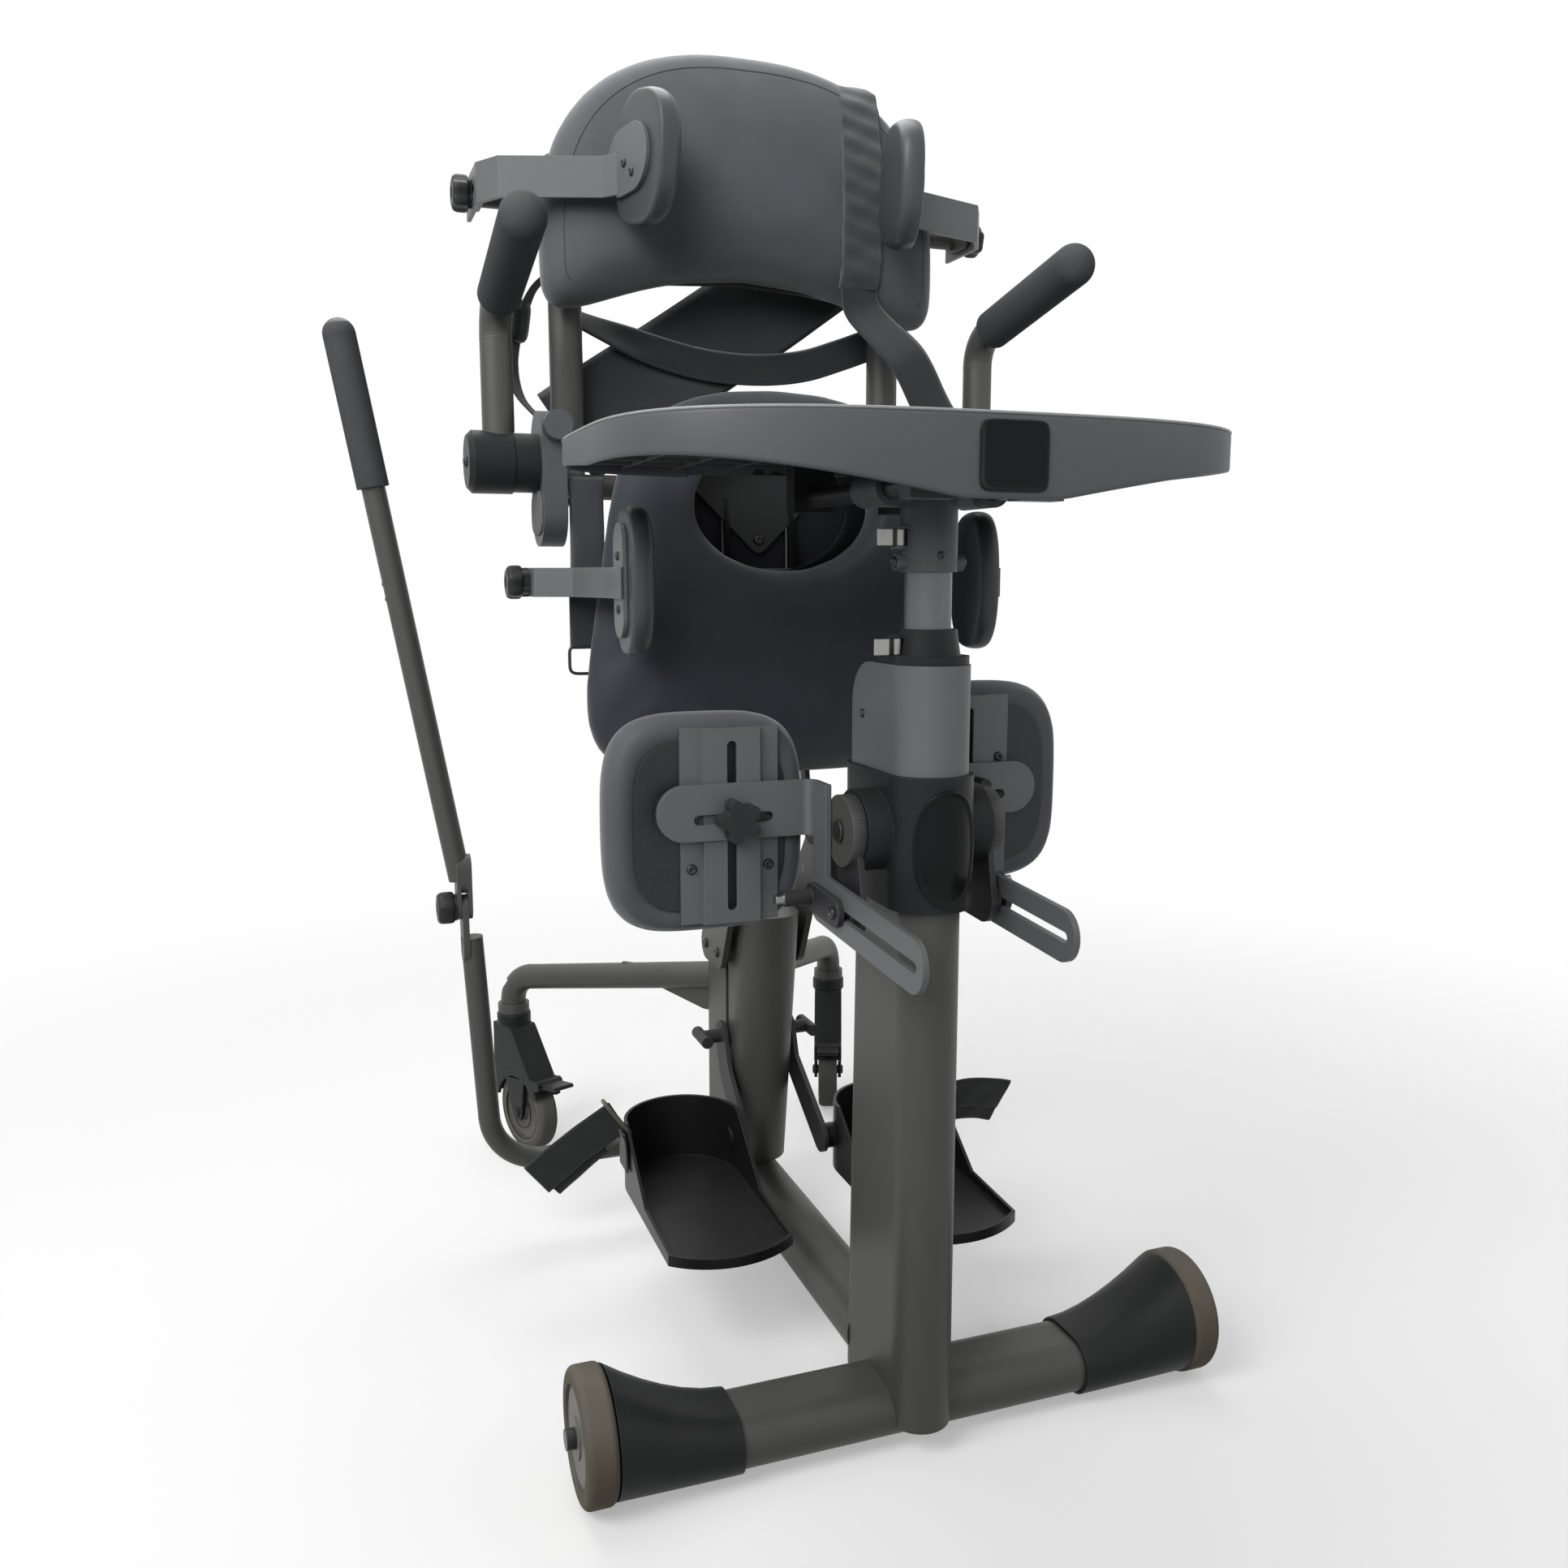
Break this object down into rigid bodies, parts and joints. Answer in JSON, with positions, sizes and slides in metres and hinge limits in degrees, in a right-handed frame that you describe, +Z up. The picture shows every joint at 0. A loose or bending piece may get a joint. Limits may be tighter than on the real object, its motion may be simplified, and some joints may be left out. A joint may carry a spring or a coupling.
{
  "type": "standing frame",
  "caption": "Sit-to-stand standing frame: hydraulic lift seat and back, knee and lateral supports, swing arms, tray on a height-set mast, foot plates, front wheels and rear casters",
  "frame": {"origin": "on the floor in the middle plane, under the middle of the front axle", "axes": "+X is the user's left, +Y points to the back, from the mast to the rear casters, and +Z is up"},
  "size_m": [0.873, 1.1232, 1.517],
  "materials": {
    "frame_paint": "satin dark grey powder coat",
    "black_paint": "fine-textured black powder coat",
    "black_plastic": "matt black moulding",
    "foot_plastic": "moulded foot plate",
    "tray_plastic": "textured dark grey moulding",
    "bright_tube": "grey tube and bright metal",
    "tyre_rubber": "grey rubber tyre on a dark hub",
    "pad_cover": "black coated upholstery",
    "webbing": "black nylon webbing"
  },
  "bodies": {
    "base": {"front_cross_tube": "frame_paint", "base_beam": "frame_paint", "front_mast": "frame_paint", "rear_column": "frame_paint", "rear_legs": "frame_paint", "wheel_fairings": "black_plastic", "frame_pins": "black_paint", "knee_housing": "black_plastic", "mast_sleeve": "frame_paint", "hydraulic_pump": "bright_tube", "lift_cylinder": "bright_tube"},
    "lift_rod": {"lift_rod": "bright_tube"},
    "tray_mast": {"mast_tube": "bright_tube", "tray_head": "black_plastic"},
    "tray": {"tray": "tray_plastic"},
    "mast_lever": {"mast_lever": "bright_tube"},
    "tray_lever": {"tray_lever": "bright_tube"},
    "seat": {"seat_frame": "frame_paint", "seat_pad": "pad_cover", "hip_belt": "webbing"},
    "back_links": {"back_links": "frame_paint"},
    "back": {"back_frame": "frame_paint", "back_pad": "pad_cover", "chest_straps": "webbing"},
    "pump_lever": {"pump_lever": "bright_tube"},
    "pump_handle": {"pump_handle": "bright_tube"},
    "front_wheel_left": {"front_wheel_left": "tyre_rubber"},
    "caster_left": {"caster_fork_left": "black_plastic"},
    "caster_wheel_left": {"caster_wheel_left": "tyre_rubber"},
    "brake_pedal_left": {"brake_pedal_left": "black_plastic"},
    "knee_arm_left": {"knee_arm_left": "black_paint"},
    "knee_bracket_left": {"knee_bracket_left": "black_paint"},
    "knee_knob_left": {"knee_knob_left": "black_plastic"},
    "knee_support_left": {"knee_plate_left": "black_paint", "knee_pad_left": "pad_cover"},
    "foot_arm_left": {"foot_arm_left": "black_paint"},
    "foot_left": {"foot_plate_left": "foot_plastic", "foot_strap_left": "webbing"},
    "arm_left": {"arm_handle_left": "frame_paint"},
    "lateral_left": {"lateral_bracket_left": "frame_paint", "lateral_pad_left": "pad_cover"},
    "hip_left": {"hip_bracket_left": "frame_paint", "hip_pad_left": "pad_cover"},
    "front_wheel_right": {"front_wheel_right": "tyre_rubber"},
    "caster_right": {"caster_fork_right": "black_plastic"},
    "caster_wheel_right": {"caster_wheel_right": "tyre_rubber"},
    "brake_pedal_right": {"brake_pedal_right": "black_plastic"},
    "knee_arm_right": {"knee_arm_right": "black_paint"},
    "knee_bracket_right": {"knee_bracket_right": "black_paint"},
    "knee_knob_right": {"knee_knob_right": "black_plastic"},
    "knee_support_right": {"knee_plate_right": "black_paint", "knee_pad_right": "pad_cover"},
    "foot_arm_right": {"foot_arm_right": "black_paint"},
    "foot_right": {"foot_plate_right": "foot_plastic", "foot_strap_right": "webbing"},
    "arm_right": {"arm_handle_right": "frame_paint"},
    "lateral_right": {"lateral_bracket_right": "frame_paint", "lateral_pad_right": "pad_cover"},
    "hip_right": {"hip_bracket_right": "frame_paint", "hip_pad_right": "pad_cover"}
  },
  "joints": [
    {"name": "front_wheel_left_spin", "type": "hinge", "parent": "base", "child": "front_wheel_left", "pos_m": [0.3345, 0, 0.0655], "axis": [1, 0, 0], "continuous": true},
    {"name": "caster_left_swivel", "type": "hinge", "parent": "base", "child": "caster_left", "pos_m": [0.266, 0.88, 0.23], "axis": [0, 0, 1], "continuous": true},
    {"name": "caster_wheel_left_spin", "type": "hinge", "parent": "caster_left", "child": "caster_wheel_left", "pos_m": [0.25177, 0.84477, 0.0615], "axis": [0.9272, -0.3746, 0], "continuous": true},
    {"name": "brake_pedal_left_press", "type": "hinge", "parent": "caster_left", "child": "brake_pedal_left", "pos_m": [0.23079, 0.79285, 0.118], "axis": [0.9272, -0.3746, 0], "range_deg": [0, 12]},
    {"name": "knee_arm_left_swing", "type": "hinge", "parent": "base", "child": "knee_arm_left", "pos_m": [0.07, -0.005, 0.644], "axis": [1, 0, 0], "range_deg": [-6, 6]},
    {"name": "knee_bracket_left_reach", "type": "slide", "parent": "knee_arm_left", "child": "knee_bracket_left", "axis": [0, 0.9986, 0.0523], "range_m": [-0.012, 0.08]},
    {"name": "knee_knob_left_width", "type": "slide", "parent": "knee_bracket_left", "child": "knee_knob_left", "axis": [1, 0, 0], "range_m": [-0.001, 0.03]},
    {"name": "knee_support_left_height", "type": "slide", "parent": "knee_knob_left", "child": "knee_support_left", "axis": [0, 0, 1], "range_m": [-0.05, 0.03]},
    {"name": "foot_arm_left_height", "type": "slide", "parent": "base", "child": "foot_arm_left", "axis": [0, 0, 1], "range_m": [-0.008, 0.07]},
    {"name": "foot_left_tilt", "type": "hinge", "parent": "foot_arm_left", "child": "foot_left", "pos_m": [0.056, 0.362, 0.167], "axis": [1, 0, 0], "range_deg": [-8, 8]},
    {"name": "arm_left_swing", "type": "hinge", "parent": "back", "child": "arm_left", "pos_m": [0.32, 0.49, 1.021], "axis": [1, 0, 0], "range_deg": [-20, 40]},
    {"name": "lateral_left_depth", "type": "slide", "parent": "back", "child": "lateral_left", "axis": [0, 1, 0], "range_m": [-0.028, 0.008]},
    {"name": "hip_left_depth", "type": "slide", "parent": "seat", "child": "hip_left", "axis": [0, 1, 0], "range_m": [-0.024, 0.004]},
    {"name": "front_wheel_right_spin", "type": "hinge", "parent": "base", "child": "front_wheel_right", "pos_m": [-0.3345, 0, 0.0655], "axis": [1, 0, 0], "continuous": true},
    {"name": "caster_right_swivel", "type": "hinge", "parent": "base", "child": "caster_right", "pos_m": [-0.266, 0.88, 0.23], "axis": [0, 0, 1], "continuous": true},
    {"name": "caster_wheel_right_spin", "type": "hinge", "parent": "caster_right", "child": "caster_wheel_right", "pos_m": [-0.25177, 0.84477, 0.0615], "axis": [0.9272, 0.3746, 0], "continuous": true},
    {"name": "brake_pedal_right_press", "type": "hinge", "parent": "caster_right", "child": "brake_pedal_right", "pos_m": [-0.23079, 0.79285, 0.118], "axis": [0.9272, 0.3746, 0], "range_deg": [0, 12]},
    {"name": "knee_arm_right_swing", "type": "hinge", "parent": "base", "child": "knee_arm_right", "pos_m": [-0.07, -0.005, 0.644], "axis": [1, 0, 0], "range_deg": [-12, 12]},
    {"name": "knee_bracket_right_reach", "type": "slide", "parent": "knee_arm_right", "child": "knee_bracket_right", "axis": [0, 0.9986, 0.0523], "range_m": [-0.002, 0.1]},
    {"name": "knee_knob_right_width", "type": "slide", "parent": "knee_bracket_right", "child": "knee_knob_right", "axis": [-1, 0, 0], "range_m": [-0.025, 0.03]},
    {"name": "knee_support_right_height", "type": "slide", "parent": "knee_knob_right", "child": "knee_support_right", "axis": [0, 0, 1], "range_m": [-0.04, 0.05]},
    {"name": "foot_arm_right_height", "type": "slide", "parent": "base", "child": "foot_arm_right", "axis": [0, 0, 1], "range_m": [-0.008, 0.07]},
    {"name": "foot_right_tilt", "type": "hinge", "parent": "foot_arm_right", "child": "foot_right", "pos_m": [-0.056, 0.4, 0.167], "axis": [1, 0, 0], "range_deg": [-8, 8]},
    {"name": "arm_right_swing", "type": "hinge", "parent": "back", "child": "arm_right", "pos_m": [-0.32, 0.49, 1.021], "axis": [1, 0, 0], "range_deg": [-20, 40]},
    {"name": "lateral_right_depth", "type": "slide", "parent": "back", "child": "lateral_right", "axis": [0, 1, 0], "range_m": [-0.028, 0.008]},
    {"name": "hip_right_depth", "type": "slide", "parent": "seat", "child": "hip_right", "axis": [0, 1, 0], "range_m": [-0.024, 0.004]},
    {"name": "mast_height", "type": "slide", "parent": "base", "child": "tray_mast", "axis": [0, 0, 1], "range_m": [-0.02, 0.12]},
    {"name": "tray_depth", "type": "slide", "parent": "tray_mast", "child": "tray", "axis": [0, 1, 0], "range_m": [-0.05, 0.05]},
    {"name": "mast_lever_release", "type": "hinge", "parent": "base", "child": "mast_lever", "pos_m": [-0.033, -0.025, 0.821], "axis": [0, 0, 1], "range_deg": [0, 40]},
    {"name": "tray_lever_release", "type": "hinge", "parent": "tray_mast", "child": "tray_lever", "pos_m": [-0.031, -0.025, 0.92167], "axis": [0, 0, 1], "range_deg": [0, 40]},
    {"name": "seat_lift", "type": "hinge", "parent": "base", "child": "seat", "pos_m": [0, 0.385, 0.57], "axis": [1, 0, 0], "range_deg": [-85, 0]},
    {"name": "back_follow", "type": "hinge", "parent": "seat", "child": "back", "pos_m": [0, 0.49, 1.021], "axis": [1, 0, 0], "range_deg": [0, 85]},
    {"name": "back_link_swing", "type": "hinge", "parent": "base", "child": "back_links", "pos_m": [0, 0.435, 0.508], "axis": [1, 0, 0], "range_deg": [-85, 0]},
    {"name": "lift_stroke", "type": "slide", "parent": "base", "child": "lift_rod", "axis": [0, 0, 1], "range_m": [-0.181, 0.001]},
    {"name": "pump_stroke", "type": "hinge", "parent": "base", "child": "pump_lever", "pos_m": [-0.03, 0.53, 0.119], "axis": [1, 0, 0], "range_deg": [-25, 25]},
    {"name": "pump_fold", "type": "hinge", "parent": "pump_lever", "child": "pump_handle", "pos_m": [-0.376, 0.53, 0.47], "axis": [1, 0, 0], "range_deg": [-100, 0]}
  ],
  "couplings": [
    {"joint": "back_follow", "follows": "seat_lift", "ratio": -1},
    {"joint": "back_link_swing", "follows": "seat_lift", "ratio": 1},
    {"joint": "lift_stroke", "follows": "seat_lift", "m_per_rad": 0.12115}
  ]
}
